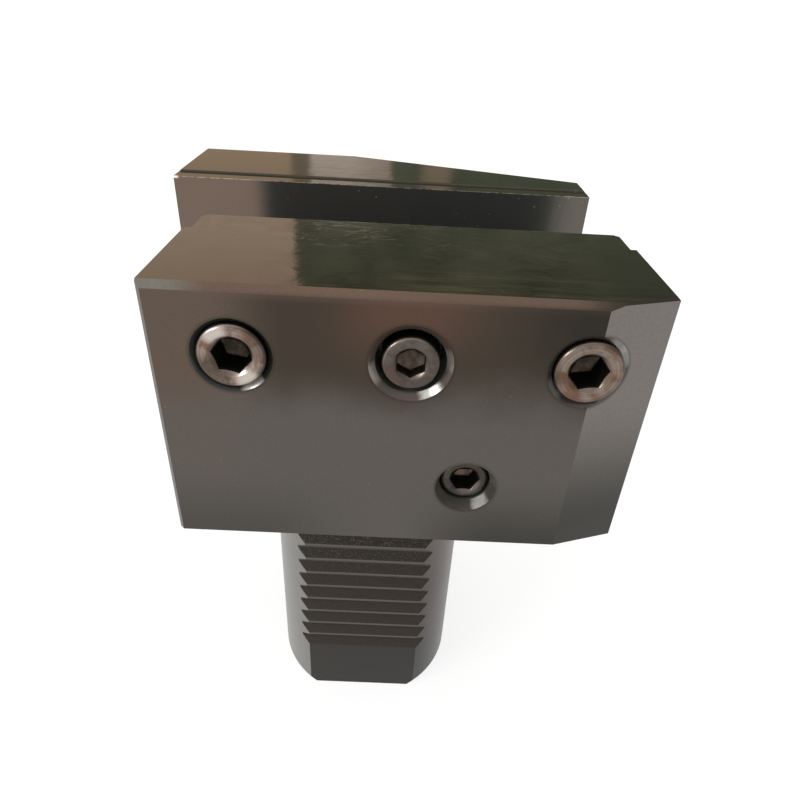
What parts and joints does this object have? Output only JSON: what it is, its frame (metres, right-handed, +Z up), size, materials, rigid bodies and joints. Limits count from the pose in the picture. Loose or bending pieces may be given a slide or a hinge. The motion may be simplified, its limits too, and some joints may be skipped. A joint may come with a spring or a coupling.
{
  "type": "radial tool holder",
  "caption": "Lathe turret tool holder: toothed cylindrical shank under a slotted head, with a screwed clamping strip for a square tool and a coolant nozzle.",
  "frame": {"origin": "on the shank axis, at the flange face that meets the turret", "axes": "+Z up the shank axis into the head, -Y to the clamping side with the screws, +X to the cutting end of the tool slot"},
  "size_m": [0.0858, 0.0809, 0.107],
  "materials": {
    "blackened_steel": "blackened, satin",
    "blackened_strip": "blackened, satin",
    "screw_steel": "oiled, worn",
    "ball_steel": "bright",
    "seal_rubber": "matte"
  },
  "bodies": {
    "holder": {"holder_body": "blackened_steel", "coolant_plug": "screw_steel", "nozzle_ring": "screw_steel", "shank_seal": "seal_rubber"},
    "strip": {"clamping_strip": "blackened_strip", "strip_screw": "screw_steel"},
    "left_screw": {"clamp_screw_left": "screw_steel"},
    "right_screw": {"clamp_screw_right": "screw_steel"},
    "nozzle": {"nozzle_ball": "ball_steel"}
  },
  "joints": [
    {"name": "strip_slide", "type": "slide", "parent": "holder", "child": "strip", "axis": [0, 1, 0], "range_m": [0, 0.003]},
    {"name": "left_screw_travel", "type": "slide", "parent": "holder", "child": "left_screw", "axis": [0, 1, 0], "range_m": [0, 0.003]},
    {"name": "right_screw_travel", "type": "slide", "parent": "holder", "child": "right_screw", "axis": [0, 1, 0], "range_m": [0, 0.003]},
    {"name": "nozzle_tilt", "type": "hinge", "parent": "holder", "child": "nozzle", "pos_m": [0.0385, -0.015, 0.0116], "axis": [0, -1, 0], "range_deg": [-20, 20]}
  ],
  "couplings": [
    {"joint": "left_screw_travel", "follows": "strip_slide", "ratio": 1},
    {"joint": "right_screw_travel", "follows": "strip_slide", "ratio": 1}
  ]
}
